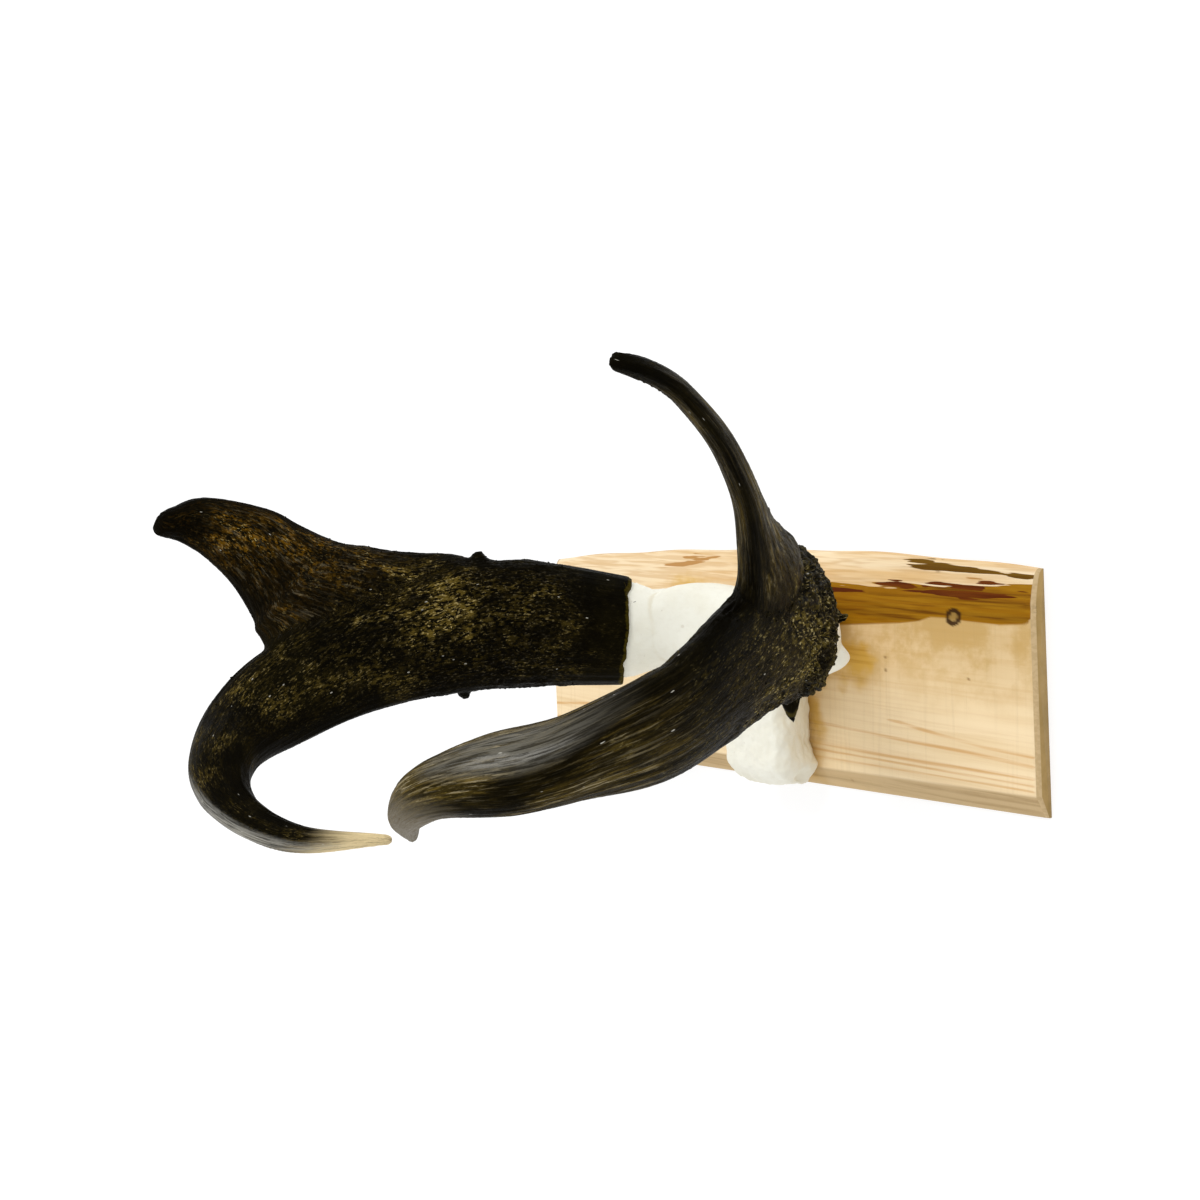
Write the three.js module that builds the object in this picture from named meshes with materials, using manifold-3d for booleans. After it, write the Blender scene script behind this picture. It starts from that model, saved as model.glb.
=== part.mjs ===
// A pair of pronghorn horns on their skull cap, fixed to a pine plaque with one waney edge.
// Millimetres, +Z up. The plaque lies on its back, so z = 0 is its flat back and the horns stand up.
// The animal's front faces -Y, its left side is +X, and the origin is the middle of the plaque's back.
import * as THREE from 'three';
import { mergeVertices } from 'three/addons/utils/BufferGeometryUtils.js';
import Module from 'manifold-3d';

const wasm = await Module();
wasm.setup();

// ---- driving dimensions ------------------------------------------------------------------------

const CLEARANCE = 0.3; // left between pieces that touch

const PLAQUE_LENGTH = 322.5;
const PLAQUE_THICK = 9;
const PLAQUE_BOTTOM_Y = 57; // the sawn lower edge, behind the braincase
const PLAQUE_FACE_Y = [-25, 47]; // the planed flat of the face, from the waney edge to the lower bevel
const PLAQUE_BEVEL_DROP = 7; // how far the lower bevel falls towards the back
const PLAQUE_END_BEVEL = 2;
const PLAQUE_SKEW = 2.5; // how far its ends lean to +X from the sawn edge to the waney one
const WANEY_EDGE_Y = [-50, -61, -57]; // the natural edge at the -X end, the middle and the +X end
const WANEY_WOBBLE = 0.8;

const SKULL_X = -26; // the skull's middle plane, set to one side of the plaque's middle
const BROW_HEIGHT = 48; // the frontal bone between the horns, above the plaque's back
const BROW_RISE = 19; // how much higher it is where it meets the horns
const BROW_HALF_WIDTH = 54;
const BROW_FRONT = [36, 42, 30]; // how far it reaches forward in the middle, at the horns and outside them
const BROW_BACK = [20, -6]; // how far it reaches back in the middle and at the horns
const BROW_FOOT_HALF_WIDTH = 26; // the stretch that stands on the plaque; outside it the bone is undercut
const CRANIUM_HALF_WIDTH = 19.5;
const CRANIUM_FOOT_HALF_WIDTH = 13;
const CRANIUM_TOP = [50, 40]; // its roof where it leaves the brow and at the back
const CRANIUM_Y = [-24, 54];
const EYE_RIM_TIP = [62, 12, 42]; // out, forward, up
const PEDICLE_FOOT = [40, 20, 36];

// A horn's beam is lofted along a curve. Each row is a station on it:
// [out from the skull's middle, forward, up, half depth front to back, half width side to side]
const LEFT_BEAM = [
  [57, 22, 68, 27.5, 20],
  [82, 27, 110, 31, 16.5],
  [97, 25, 152, 30, 13],
  [112, 14, 197, 26.5, 11],
  [118, -6, 237, 21.5, 12],
  [103, -23, 264, 15, 13.5],
  [76, -37, 273, 8.5, 10.5],
  [42, -47, 264, 5.8, 6.5],
  [3, -45, 245, 2.2, 2.2],
];
const RIGHT_BEAM = [
  [55, 24, 74, 27.5, 20],
  [84, 32, 104.5, 31, 16.5],
  [101, 31, 138, 30, 13],
  [114, 20, 177, 27, 11],
  [118, 6, 214, 22.5, 11.5],
  [104, -3, 246, 18, 14],
  [76, -11, 272, 10, 12],
  [46, -25, 267, 6, 7],
  [8, -43, 241, 2.2, 2.2],
];
// Its prong is a blade between two edges, the front one and the one that faces the fork:
// [front edge out, forward, up, fork edge out, forward, up, half thickness]
const LEFT_PRONG = [
  [89, 54, 120, 102, 0, 164, 8],
  [104, 62, 150, 117, 10, 200, 10],
  [120, 67, 174, 133, 26, 228, 11],
  [128, 71, 190, 140, 35, 229, 10],
  [135, 79, 205, 147, 51, 235, 8.5],
  [141, 87, 218, 152, 64, 245, 7.5],
  [149, 93, 245, 154, 72, 256, 6.5],
  [149, 88, 262, 152, 75, 267, 5],
];
const RIGHT_PRONG = [
  [97, 52, 120, 106, 4, 166, 8],
  [108, 66, 134, 117, 33, 172, 9],
  [119, 77, 164, 132, 56, 183, 7],
  [124, 85, 178.5, 145, 74, 198, 5.2],
  [128, 93, 188.5, 151, 87, 211, 4.6],
  [132, 100.5, 199, 154, 96, 221, 4.2],
  [135, 107.5, 211.5, 155, 104.5, 231, 3.9],
  [138, 114, 225, 154, 111.5, 240.5, 3.7],
  [141, 117.5, 239, 152, 115.5, 249.5, 3.5],
  [143, 119, 252, 148, 118, 257, 3.1],
];
const FLAT_OF_HORN = new THREE.Vector3(0.64, 0, -0.77); // the thin way of a horn: outward and down

// Lumps on the sheaths: [out, forward, up] of the root and of the tip, then the root's radius.
const LEFT_LUMPS = [
  [[90, 54, 131], [92, 62, 133], 4],
  [[95, 2, 142], [96, -8, 141], 4],
];
const RIGHT_LUMPS = [
  [[68, 30, 72], [79, 31, 67], 5],
  [[61, 1, 83], [57, -14, 76], 5],
];

const BEAM_SIDES = 24;
const BEAM_STEPS = 5; // rings from one station to the next
const PRONG_SIDES = 20;
const PRONG_STEPS = 3;
const LUMP_SIDES = 8;
const BONE_SIDES = 20;
const BROW_STEPS = 22;
const CRANIUM_STEPS = 14;
const WANEY_STEPS = 8;
const PLAQUE_STEPS = 24;

// ---- materials ---------------------------------------------------------------------------------

const hornMaterial = new THREE.MeshStandardMaterial({ color: 0x1f1a10, roughness: 0.45, metalness: 0 });
const boneMaterial = new THREE.MeshStandardMaterial({ color: 0xece8dc, roughness: 0.7, metalness: 0 });
const pineMaterial = new THREE.MeshStandardMaterial({ color: 0xe6cda0, roughness: 0.6, metalness: 0 });

// ---- solids ------------------------------------------------------------------------------------

function solidFrom(geometry) {
  geometry.deleteAttribute('normal');
  geometry.deleteAttribute('uv');
  const merged = mergeVertices(geometry, 1e-4);
  const mesh = new wasm.Mesh({
    numProp: 3,
    vertProperties: new Float32Array(merged.attributes.position.array),
    triVerts: new Uint32Array(merged.index.array),
  });
  return new wasm.Manifold(mesh);
}

function geometryFrom(solid) {
  const mesh = solid.getMesh();
  const geometry = new THREE.BufferGeometry();
  geometry.setAttribute('position', new THREE.BufferAttribute(mesh.vertProperties, 3));
  geometry.setIndex(new THREE.BufferAttribute(mesh.triVerts, 1));
  return geometry;
}

// A closed skin over rings of equal count, each ring turning the same way; both ends are fanned shut.
function loft(rings) {
  const sides = rings[0].length;
  const points = rings.flat();
  const faces = [];
  for (let ring = 0; ring < rings.length - 1; ring++) {
    for (let side = 0; side < sides; side++) {
      const a = ring * sides + side;
      const b = ring * sides + ((side + 1) % sides);
      faces.push(a, b, b + sides, a, b + sides, a + sides);
    }
  }
  for (const [ring, turned] of [[0, true], [rings.length - 1, false]]) {
    const middle = new THREE.Vector3();
    rings[ring].forEach((point) => middle.addScaledVector(point, 1 / sides));
    const hub = points.push(middle) - 1;
    for (let side = 0; side < sides; side++) {
      const a = ring * sides + side;
      const b = ring * sides + ((side + 1) % sides);
      faces.push(...(turned ? [hub, b, a] : [hub, a, b]));
    }
  }
  const geometry = new THREE.BufferGeometry();
  geometry.setAttribute('position', new THREE.Float32BufferAttribute(points.flatMap((p) => p.toArray()), 3));
  geometry.setIndex(faces);
  return solidFrom(geometry);
}

// ---- horns -------------------------------------------------------------------------------------

// The rows of a horn curve, read as a smooth line through all its stations.
function station(rows, at) {
  const last = rows.length - 1;
  const here = Math.min(Math.floor(at), last - 1);
  const t = at - here;
  const row = (index) => {
    if (index < 0) return rows[0].map((value, i) => 2 * value - rows[1][i]);
    if (index > last) return rows[last].map((value, i) => 2 * value - rows[last - 1][i]);
    return rows[index];
  };
  const [p0, p1, p2, p3] = [-1, 0, 1, 2].map((step) => row(here + step));
  return p1.map((value, i) => {
    const linear = p2[i] - p0[i];
    const square = 2 * p0[i] - 5 * value + 4 * p2[i] - p3[i];
    const cube = 3 * (value - p2[i]) + p3[i] - p0[i];
    return value + 0.5 * t * (linear + t * (square + t * cube));
  });
}

// side is 1 for the animal's left horn and -1 for its right.
const place = (side, out, forward, up) => new THREE.Vector3(SKULL_X + side * out, -forward, up);

// Rings square to the beam's curve.
function beamStation(rows, side, at) {
  const row = station(rows, at);
  const along = direction((t) => place(side, ...station(rows, t)), at, rows.length - 1);
  const wide = FLAT_OF_HORN.clone();
  wide.x *= side;
  wide.addScaledVector(along, -wide.dot(along)).normalize();
  const deep = new THREE.Vector3().crossVectors(wide, along).multiplyScalar(row[3]);
  return { centre: place(side, ...row), along, deep, wide: wide.multiplyScalar(row[4]) };
}

// Rings that reach from the prong's front edge to its fork edge.
function prongStation(rows, side, at) {
  const middle = (t) => {
    const row = station(rows, t);
    return place(side, ...row.slice(0, 3)).add(place(side, ...row.slice(3, 6))).multiplyScalar(0.5);
  };
  const row = station(rows, at);
  const centre = middle(at);
  const along = direction(middle, at, rows.length - 1);
  const deep = place(side, ...row.slice(0, 3)).sub(centre);
  const wide = new THREE.Vector3().crossVectors(along, deep).setLength(row[6]);
  return { centre, along, deep, wide };
}

function direction(curve, at, last) {
  const before = curve(Math.max(at - 0.01, 0));
  return curve(Math.min(at + 0.01, last)).sub(before).normalize();
}

function oval(centre, deep, wide, sides, swell = () => 1) {
  const ring = [];
  for (let i = 0; i < sides; i++) {
    const angle = (2 * Math.PI * i) / sides;
    const size = swell(angle);
    const point = centre.clone().addScaledVector(deep, size * Math.cos(angle));
    ring.push(point.addScaledVector(wide, size * Math.sin(angle)));
  }
  return ring;
}

// Oval rings along a horn curve, closed by a small dome at the tip.
function hornRings(stationAt, last, sides, count, roughness) {
  const rings = [];
  for (let step = 0; step <= count; step++) {
    const at = (last * step) / count;
    const { centre, deep, wide } = stationAt(at);
    rings.push(oval(centre, deep, wide, sides, (angle) => 1 + roughness(at, angle)));
  }
  const tip = stationAt(last);
  const reach = Math.min(tip.deep.length(), tip.wide.length());
  for (const [advance, size] of [[0.6, 0.8], [0.9, 0.43]]) {
    const centre = tip.centre.clone().addScaledVector(tip.along, advance * reach);
    rings.push(oval(centre, tip.deep, tip.wide, sides, () => size));
  }
  return rings;
}

const smooth = () => 0;

// Warts and ridges that fade out from the skull towards the fork.
function warty(at, angle) {
  const fade = Math.max(0, 1 - at / 2.6);
  const ridges = Math.sin(7 * angle + 1.7 * at) * Math.sin(9 * at + 2 * angle);
  const warts = Math.sin(5 * angle - 14 * at) * Math.sin(11 * at + 3 * angle + 1);
  return 0.045 * fade * (ridges + warts);
}

// A blunt cone from the sheath outwards.
function lump(side, [root, tip, radius]) {
  const foot = place(side, ...root);
  const along = place(side, ...tip).sub(foot);
  const wide = new THREE.Vector3(0, 0, 1).cross(along).setLength(radius);
  const deep = new THREE.Vector3().crossVectors(wide, along).setLength(radius);
  const rings = [[0, 1], [0.4, 0.9], [0.8, 0.5], [1, 0.15]].map(([advance, size]) => {
    const centre = foot.clone().addScaledVector(along, advance);
    return oval(centre, deep.clone().multiplyScalar(size), wide.clone().multiplyScalar(size), LUMP_SIDES);
  });
  return loft(rings);
}

function hornSolid(beam, prong, lumps, side) {
  const beamEnd = beam.length - 1;
  const prongEnd = prong.length - 1;
  const beamAt = (at) => beamStation(beam, side, at);
  const prongAt = (at) => prongStation(prong, side, at);
  const beamSolid = loft(hornRings(beamAt, beamEnd, BEAM_SIDES, beamEnd * BEAM_STEPS, warty));
  const prongSolid = loft(hornRings(prongAt, prongEnd, PRONG_SIDES, prongEnd * PRONG_STEPS, smooth));
  return lumps.reduce((horn, row) => horn.add(lump(side, row)), beamSolid.add(prongSolid));
}

// ---- skull cap ---------------------------------------------------------------------------------

const blend = (from, to, t) => from + (to - from) * THREE.MathUtils.clamp(t, 0, 1);
const power = (value, exponent) => Math.sign(value) * Math.abs(value) ** exponent;

// The frontal bone: a saddle that rises to the horns, undercut outside the foot it stands on.
function browSolid() {
  const rings = [];
  for (let step = 0; step <= BROW_STEPS; step++) {
    const out = BROW_HALF_WIDTH * (1 - (2 * step) / BROW_STEPS);
    const share = Math.abs(out) / BROW_HALF_WIDTH;
    const top = BROW_HEIGHT + BROW_RISE * Math.min(share * 1.4, 1) ** 2;
    const lift = Math.max(0, Math.abs(out) - BROW_FOOT_HALF_WIDTH);
    const foot = PLAQUE_THICK + CLEARANCE + lift * (1.1 - 0.001 * lift);
    const inner = blend(BROW_FRONT[0], BROW_FRONT[1], share * 1.6);
    const front = blend(inner, BROW_FRONT[2], (share - 0.8) * 5);
    const back = blend(BROW_BACK[0], BROW_BACK[1], (share - 0.1) * 2.2);
    const middle = (front - back) / 2;
    const half = (front + back) / 2;
    const waist = blend(foot, top, 0.45);
    const ring = [];
    for (let i = 0; i < BONE_SIDES; i++) {
      const angle = (2 * Math.PI * i) / BONE_SIDES;
      const rise = power(Math.sin(angle), 0.75);
      const forward = middle + half * power(Math.cos(angle), 0.6);
      ring.push(place(1, out, forward, waist + rise * (rise > 0 ? top - waist : waist - foot)));
    }
    rings.push(ring);
  }
  return loft(rings);
}

// The braincase roof: a long vault with steep, slightly undercut walls, flared at its back corners.
function craniumSolid() {
  const rings = [];
  for (let step = 0; step <= CRANIUM_STEPS; step++) {
    const t = step / CRANIUM_STEPS;
    const y = blend(CRANIUM_Y[0], CRANIUM_Y[1], t);
    const end = Math.sqrt(1 - Math.max(0, (t - 0.82) / 0.2) ** 2);
    const foot = PLAQUE_THICK + CLEARANCE;
    const top = foot + (blend(CRANIUM_TOP[0], CRANIUM_TOP[1], t) - foot) * (0.35 + 0.65 * end);
    const flare = 7 * Math.max(0, 1 - Math.abs(t - 0.88) / 0.14);
    const ring = [];
    for (let i = 0; i < BONE_SIDES; i++) {
      const angle = (2 * Math.PI * i) / BONE_SIDES;
      const rise = power(Math.sin(angle), 0.6);
      const share = (rise + 1) / 2;
      const width = blend(CRANIUM_FOOT_HALF_WIDTH + flare, CRANIUM_HALF_WIDTH, share * 1.4);
      const out = width * (0.6 + 0.4 * end) * power(Math.cos(angle), 0.55);
      ring.push(new THREE.Vector3(SKULL_X + out, y, foot + (top - foot) * share));
    }
    rings.push(ring);
  }
  return loft(rings.reverse());
}

// The stump of bone inside a horn's foot; it is cut square where the sheath sits on it.
function pedicleSolid(beam, side) {
  const seat = beamStation(beam, side, 0);
  const foot = place(side, ...PEDICLE_FOOT);
  const rings = [[0, 0.55], [0.5, 0.7], [0.85, 0.84], [1.08, 0.88]].map(([advance, size]) => {
    const centre = foot.clone().lerp(seat.centre, advance);
    const deep = seat.deep.clone().multiplyScalar(size);
    return oval(centre, deep, seat.wide.clone().multiplyScalar(size), BONE_SIDES);
  });
  return loft(rings);
}

// The rim of the eye socket, which shows outside the foot of the horn.
function eyeRimSolid(side) {
  const tip = place(side, ...EYE_RIM_TIP);
  const root = place(side, 36, EYE_RIM_TIP[1] - 3, EYE_RIM_TIP[2] + 1);
  const rings = [];
  for (let step = 0; step <= 6; step++) {
    const t = step / 6;
    const size = Math.sqrt(1 - 0.96 * t * t);
    const deep = new THREE.Vector3(0, -9 * size, 0);
    const tall = new THREE.Vector3(0, 0, -side * (2 + 8 * size));
    rings.push(oval(root.clone().lerp(tip, t), deep, tall, 14));
  }
  return loft(rings);
}

// What has to stay clear of the bone: the foot of a sheath, a little larger and lower.
function seatCutter(beam, side) {
  const rings = [0, 0, 0.2, 0.4, 0.6, 0.8].map((at, step) => {
    const seat = beamStation(beam, side, at);
    const centre = seat.centre.addScaledVector(seat.along, step === 0 ? -CLEARANCE : 0);
    return oval(centre, seat.deep.multiplyScalar(1.12), seat.wide.multiplyScalar(1.15), 32);
  });
  return loft(rings);
}

function skullSolid() {
  let bone = browSolid().add(craniumSolid());
  const horns = [[LEFT_BEAM, LEFT_LUMPS, 1], [RIGHT_BEAM, RIGHT_LUMPS, -1]];
  for (const [beam, , side] of horns) bone = bone.add(pedicleSolid(beam, side)).add(eyeRimSolid(side));
  for (const [beam, lumps, side] of horns) {
    bone = bone.subtract(seatCutter(beam, side));
    for (const [root, tip, radius] of lumps) bone = bone.subtract(lump(side, [root, tip, radius + 1]));
  }
  return bone;
}

// ---- plaque ------------------------------------------------------------------------------------

// The waney edge: a bow through its three stated places, with the slow wobble of a trunk.
function waneyEdge(x) {
  const [low, middle, high] = WANEY_EDGE_Y;
  const t = (2 * x) / PLAQUE_LENGTH;
  const bow = middle + ((high - low) / 2) * t + ((high + low) / 2 - middle) * t * t;
  return bow + WANEY_WOBBLE * Math.sin(x / 17) * Math.sin(x / 29 + 1);
}

// One cross-section, from the waney edge over the face to the lower edge and back underneath.
function plaqueRing(x, inset) {
  const [faceStart, faceEnd] = PLAQUE_FACE_Y;
  const outline = [];
  for (let step = 0; step <= WANEY_STEPS; step++) {
    const angle = (Math.PI / 2) * (1 - step / WANEY_STEPS);
    const reach = Math.sin(angle) ** 1.15;
    outline.push([blend(faceStart, waneyEdge(x), reach), PLAQUE_THICK * Math.cos(angle) ** 0.9]);
  }
  outline.push([faceEnd, PLAQUE_THICK]);
  outline.push([PLAQUE_BOTTOM_Y, PLAQUE_THICK - PLAQUE_BEVEL_DROP]);
  outline.push([PLAQUE_BOTTOM_Y, 0]);
  return outline.reverse().map(([y, z]) => {
    const skew = (PLAQUE_SKEW * (PLAQUE_BOTTOM_Y - y)) / (PLAQUE_BOTTOM_Y - WANEY_EDGE_Y[1]);
    return new THREE.Vector3(x + skew, y, z * (1 - inset / PLAQUE_THICK));
  });
}

function plaqueSolid() {
  const half = PLAQUE_LENGTH / 2;
  const rings = [plaqueRing(-half, PLAQUE_END_BEVEL)];
  for (let step = 0; step <= PLAQUE_STEPS; step++) {
    const t = step / PLAQUE_STEPS;
    rings.push(plaqueRing(blend(-half + PLAQUE_END_BEVEL, half - PLAQUE_END_BEVEL, t), 0));
  }
  rings.push(plaqueRing(half, PLAQUE_END_BEVEL));
  return loft(rings);
}

// ---- assembly ----------------------------------------------------------------------------------

const group = new THREE.Group();

function addPart(name, solid, material) {
  const mesh = new THREE.Mesh(geometryFrom(solid), material);
  mesh.name = name;
  group.add(mesh);
}

addPart('left_horn', hornSolid(LEFT_BEAM, LEFT_PRONG, LEFT_LUMPS, 1), hornMaterial);
addPart('right_horn', hornSolid(RIGHT_BEAM, RIGHT_PRONG, RIGHT_LUMPS, -1), hornMaterial);
addPart('skull_cap', skullSolid(), boneMaterial);
addPart('plaque', plaqueSolid(), pineMaterial);

export default group;
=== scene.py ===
"""Pronghorn horns on their skull cap and pine plaque: the looks, built around the solids."""

import math

import bpy
import numpy as np
from mathutils import Euler, Matrix, Vector, kdtree


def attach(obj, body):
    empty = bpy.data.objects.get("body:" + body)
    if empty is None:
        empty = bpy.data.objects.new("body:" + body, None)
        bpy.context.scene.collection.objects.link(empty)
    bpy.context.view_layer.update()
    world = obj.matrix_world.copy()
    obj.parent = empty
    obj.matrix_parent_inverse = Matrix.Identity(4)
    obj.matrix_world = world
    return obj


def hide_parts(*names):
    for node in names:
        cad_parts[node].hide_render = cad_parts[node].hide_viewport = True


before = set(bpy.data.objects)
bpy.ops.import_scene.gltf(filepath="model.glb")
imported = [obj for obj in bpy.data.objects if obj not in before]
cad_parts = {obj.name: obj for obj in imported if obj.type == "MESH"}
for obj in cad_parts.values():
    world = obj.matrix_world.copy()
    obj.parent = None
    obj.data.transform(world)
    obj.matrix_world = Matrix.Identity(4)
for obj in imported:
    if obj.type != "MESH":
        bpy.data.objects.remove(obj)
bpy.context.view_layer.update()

MM = 0.001  # the tables below are in millimetres, as in the part's source

# ---- sizes, repeated from the solids ----

SKULL_X = -26
FLAT_OF_HORN = (0.64, 0, -0.77)

# out from the skull's middle, forward, up, half depth, half width
LEFT_BEAM = [
    (57, 22, 68, 27.5, 20),
    (82, 27, 110, 31, 16.5),
    (97, 25, 152, 30, 13),
    (112, 14, 197, 26.5, 11),
    (118, -6, 237, 21.5, 12),
    (103, -23, 264, 15, 13.5),
    (76, -37, 273, 8.5, 10.5),
    (42, -47, 264, 5.8, 6.5),
    (3, -45, 245, 2.2, 2.2),
]
RIGHT_BEAM = [
    (55, 24, 74, 27.5, 20),
    (84, 32, 104.5, 31, 16.5),
    (101, 31, 138, 30, 13),
    (114, 20, 177, 27, 11),
    (118, 6, 214, 22.5, 11.5),
    (104, -3, 246, 18, 14),
    (76, -11, 272, 10, 12),
    (46, -25, 267, 6, 7),
    (8, -43, 241, 2.2, 2.2),
]
# front edge out, forward, up, fork edge out, forward, up, half thickness
LEFT_PRONG = [
    (89, 54, 120, 102, 0, 164, 8),
    (104, 62, 150, 117, 10, 200, 10),
    (120, 67, 174, 133, 26, 228, 11),
    (128, 71, 190, 140, 35, 229, 10),
    (135, 79, 205, 147, 51, 235, 8.5),
    (141, 87, 218, 152, 64, 245, 7.5),
    (149, 93, 245, 154, 72, 256, 6.5),
    (149, 88, 262, 152, 75, 267, 5),
]
RIGHT_PRONG = [
    (97, 52, 120, 106, 4, 166, 8),
    (108, 66, 134, 117, 33, 172, 9),
    (119, 77, 164, 132, 56, 183, 7),
    (124, 85, 178.5, 145, 74, 198, 5.2),
    (128, 93, 188.5, 151, 87, 211, 4.6),
    (132, 100.5, 199, 154, 96, 221, 4.2),
    (135, 107.5, 211.5, 155, 104.5, 231, 3.9),
    (138, 114, 225, 154, 111.5, 240.5, 3.7),
    (141, 117.5, 239, 152, 115.5, 249.5, 3.5),
    (143, 119, 252, 148, 118, 257, 3.1),
]
# root, tip, root radius and shape of each lump on a sheath
LEFT_LUMPS = [
    ((90, 54, 131), (92.2, 63.2, 133.2), 4.6, "blunt"),
    ((95, 2, 142), (96, -8, 141), 4, "blunt"),
]
RIGHT_LUMPS = [
    ((68, 30, 72), (82, 32, 67), 5, "blunt"),
    ((61, 1, 83), (57, -14, 76), 5, "pointed"),
]
# the small web in the left horn's fork
LEFT_WEB = ((128, 20, 219), (134, 27, 228), 5.5, "blunt")
# middle and height of the soft swellings down the left horn's front
LEFT_SWELLINGS = [((97, 57, 145), 4.6), ((88, 54, 116), 1.8)]

# Where the mottling is strongest: out, forward, up, how far it spreads, how strong.
LEFT_GILT = [
    (90, 40, 124, 20, 1.0),
    (99, 41, 150, 24, 1.2),
    (107, 38, 176, 20, 0.9),
    (124, 60, 192, 26, 1.0),
    (142, 80, 228, 22, 1.0),
    (124, -8, 243, 14, 0.6),
]
RIGHT_GILT = [
    (72, 36, 86, 34, 1.1),
    (92, 50, 116, 24, 0.7),
    (98, 24, 134, 30, 0.8),
    (112, 8, 190, 24, 0.7),
]

SHEATH_SIDES = 72  # points round each ring of a sheath
SHEATH_FACE = 1.0  # how wide the small even faces of a grown skin are
BONE_FACE = 0.9
CREASE_REACH = 7  # how near both a beam and its prong the fork is softened
CREASE_ROUNDS = 110
KNOB_REACH = 6  # how far from its tip a lump is crumbled
SWELLING_REACH = 14
HAIRS_PER_SQUARE_METRE = 2500.0
GOLD = 1.9  # how strong the mottling is

PLAQUE_LENGTH = 322.5
PLAQUE_THICK = 9
PLAQUE_BOTTOM_Y = 57
PLAQUE_FACE_END = 47
PLAQUE_BEVEL_DROP = 7
PLAQUE_END_BEVEL = 2
PLAQUE_SKEW = 2.5
WANEY_EDGE_Y = (-50, -61, -57)
KNOT = (-119.8, -28.8)
KNOT_RADIUS = 3
BONE_FOOT = PLAQUE_THICK + 0.3  # the bone begins just clear of the plaque

# The marks on the plaque, each a line of (x, y, half width).
OLIVE_PATCHES = [
    [(-80, -51.7, 0.1), (-93, -52, 0.6), (-104, -51.5, 1.5), (-110, -51.3, 2.3), (-120, -50.2, 1.9),
     (-131, -49, 1), (-145, -47.8, 0.1)],
    [(-86, -53.3, 0.2), (-94, -53.6, 0.8), (-106, -53.3, 0.8)],
    [(-144, -47.6, 0.4), (-149, -47, 1.4), (-154, -46.6, 1.6), (-158, -46.4, 1.2)],
]
RED_PATCHES = [
    [(-50, -40, 0.8), (-60, -40.2, 1.4), (-76, -40.6, 1.4), (-90, -40.8, 1.6), (-100, -40.5, 0.7)],
    [(-78, -43, 0.3), (-84, -43.8, 1.2), (-90, -43.6, 1.3), (-96, -42, 0.8)],
    [(-104, -43, 0.3), (-112, -43, 0.9), (-120, -42.6, 1.1), (-128, -41.8, 1.5),
     (-134, -41.5, 0.6)],
    [(-98, -39.6, 0.2), (-108, -39.4, 0.7), (-118, -39, 1.3), (-126, -38.4, 2.2), (-136, -38.4, 2),
     (-142, -39, 0.8), (-154, -39.4, 0.5)],
    [(-131, -43.9, 0.2), (-137, -43.8, 1), (-144, -43.4, 0.3)],
]
TAN_PATCHES = [
    [(-124, -46.4, 0.2), (-128, -46.4, 0.6), (-133, -46, 0.2)],
    [(80, -52.3, 0.1), (66, -52.6, 0.5), (52, -53.6, 1), (38, -55.6, 0.8), (24, -57.8, 0.2)],
    [(52, -57.4, 0.2), (45, -57.8, 0.9), (38, -57.6, 0.3)],
]
GROWTH_RINGS = [
    [(-20, 23, 0.5), (-64, 26.6, 0.5), (-90, 28.7, 0.6), (-125, 31.2, 0.6), (-158, 34.3, 0.6)],
    [(-84, 20.2, 0.2), (-90, 20.9, 0.6), (-112, 24.8, 0.6), (-135, 28, 0.6), (-158, 30, 0.6)],
    [(-20, 33.6, 0.6), (-66, 36.4, 0.7), (-100, 38, 0.6), (-158, 39.4, 0.6)],
    [(-20, 37.4, 0.3), (-90, 40, 0.3), (-158, 42.6, 0.3)],
    [(-20, 41, 0.2), (-90, 43, 0.2), (-158, 45, 0.2)],
    [(160, 30, 0.5), (110, 27, 0.5), (40, 26, 0.4)],
    [(160, 38, 0.5), (90, 36, 0.6), (20, 37, 0.4)],
]
SPECKS_ON_PLAQUE = [(-83.3, -9.2), (-83.1, -3.1), (-127.5, -1.5), (-60, 52)]

# ---- numbers and points ----


def blend(low, high, share):
    return low + (high - low) * np.clip(share, 0, 1)


def ease(low, high, value):
    """0 below low, 1 above high, and smooth between them."""
    share = np.clip((value - low) / (high - low), 0, 1)
    return share * share * (3 - 2 * share)


def hashed(cell, seed):
    """Three numbers from -1 to 1 for each cell of a grid, always the same ones."""
    mixed = cell[:, 0] * 374761393 + cell[:, 1] * 668265263 + cell[:, 2] * 1440662683 + seed * 982451653
    mixed = (mixed & 0xFFFFFFFF).astype(np.uint64)
    mixed = ((mixed ^ (mixed >> np.uint64(13))) * np.uint64(1274126177)) & np.uint64(0xFFFFFFFF)
    mixed = mixed ^ (mixed >> np.uint64(16))
    parts = [(mixed >> np.uint64(shift)) & np.uint64(0x3FF) for shift in (0, 10, 20)]
    return np.stack(parts, 1).astype(float) / 511.5 - 1


GRID_TURN = np.array(Euler((0.7, 1.1, 0.4)).to_matrix())


def lumps(points, size, seed):
    """Smooth noise from about -1 to 1 whose lumps are about size across."""
    scaled = points / np.asarray(size, float) @ GRID_TURN
    cell = np.floor(scaled).astype(np.int64)
    share = scaled - cell
    fade = share**3 * (share * (share * 6 - 15) + 10)
    total = np.zeros(len(points))
    for corner in np.ndindex(2, 2, 2):
        corner = np.array(corner)
        weight = np.prod(np.where(corner, fade, 1 - fade), axis=1)
        total += weight * np.einsum("ij,ij->i", hashed(cell + corner, seed), share - corner)
    return total * 1.7


def crumbled(points, size, seed):
    """The same with smaller lumps on the large ones."""
    size = np.asarray(size, float)
    return sum(lumps(points, size / 2**turn, seed + turn) / 2**turn for turn in range(3))


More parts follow.
